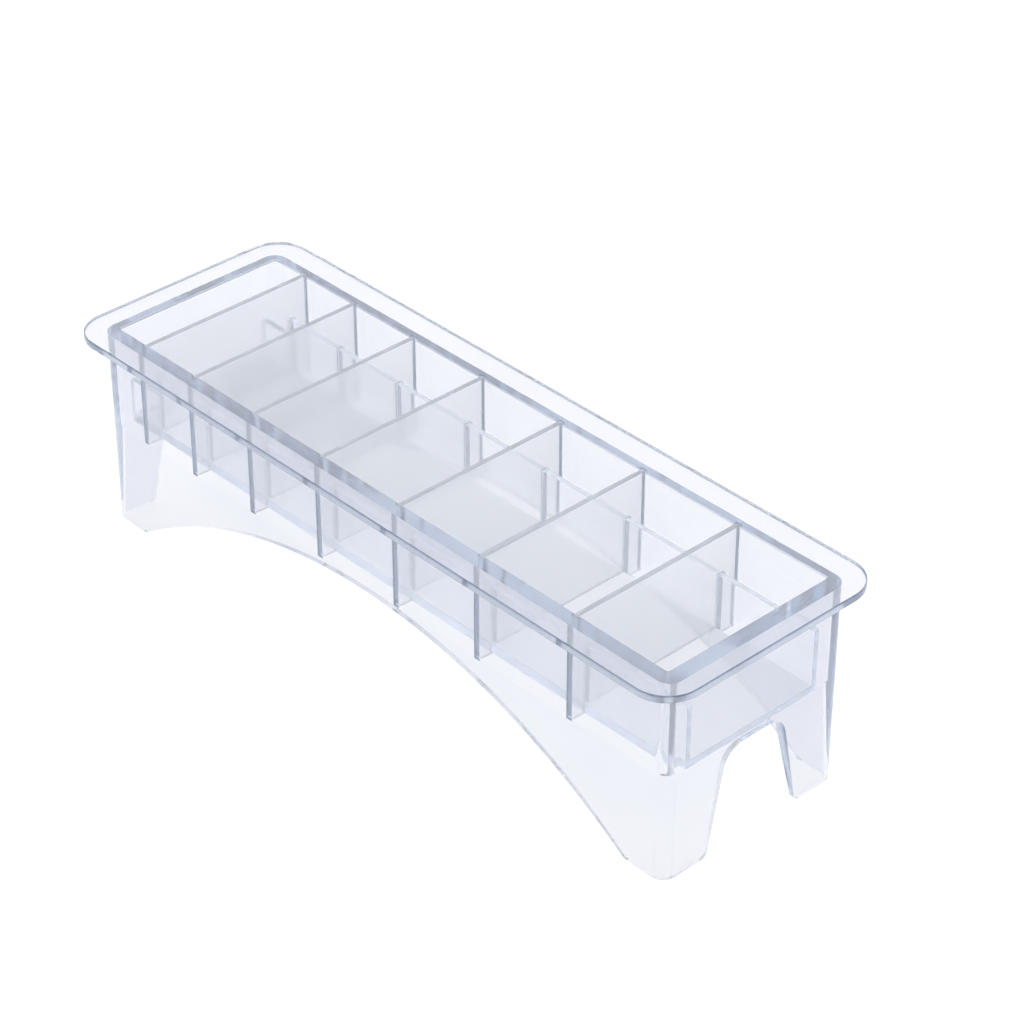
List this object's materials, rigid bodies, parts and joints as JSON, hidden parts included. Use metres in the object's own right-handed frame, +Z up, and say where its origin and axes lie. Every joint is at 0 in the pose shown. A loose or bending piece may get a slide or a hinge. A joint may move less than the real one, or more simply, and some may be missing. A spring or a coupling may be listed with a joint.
{
  "type": "parts sorting tray",
  "caption": "Long low clear plastic sorting tray with a flat rim, standing on arched legs and divided into bins of growing width by lift-out plates.",
  "frame": {"origin": "centre of the footprint, on the surface the feet stand on", "axes": "+X along the tray from the narrowest bin to the widest end, +Y across the tray, +Z up"},
  "size_m": [0.213, 0.07, 0.057],
  "materials": {
    "clear_body": "clear moulded plastic with a faint blue cast, polished",
    "clear_plate": "clear moulded plastic with a faint blue cast, polished"
  },
  "bodies": {
    "tray": {"tray_body": "clear_body"},
    "plate_1": {"divider_1": "clear_plate"},
    "plate_2": {"divider_2": "clear_plate"},
    "plate_3": {"divider_3": "clear_plate"},
    "plate_4": {"divider_4": "clear_plate"},
    "plate_5": {"divider_5": "clear_plate"},
    "plate_6": {"divider_6": "clear_plate"},
    "plate_7": {"divider_7": "clear_plate"}
  },
  "joints": [
    {"name": "plate_1_lift", "type": "slide", "parent": "tray", "child": "plate_1", "axis": [0, 0, 1], "range_m": [0, 0.032]},
    {"name": "plate_2_lift", "type": "slide", "parent": "tray", "child": "plate_2", "axis": [0, 0, 1], "range_m": [0, 0.032]},
    {"name": "plate_3_lift", "type": "slide", "parent": "tray", "child": "plate_3", "axis": [0, 0, 1], "range_m": [0, 0.032]},
    {"name": "plate_4_lift", "type": "slide", "parent": "tray", "child": "plate_4", "axis": [0, 0, 1], "range_m": [0, 0.032]},
    {"name": "plate_5_lift", "type": "slide", "parent": "tray", "child": "plate_5", "axis": [0, 0, 1], "range_m": [0, 0.032]},
    {"name": "plate_6_lift", "type": "slide", "parent": "tray", "child": "plate_6", "axis": [0, 0, 1], "range_m": [0, 0.032]},
    {"name": "plate_7_lift", "type": "slide", "parent": "tray", "child": "plate_7", "axis": [0, 0, 1], "range_m": [0, 0.032]}
  ]
}
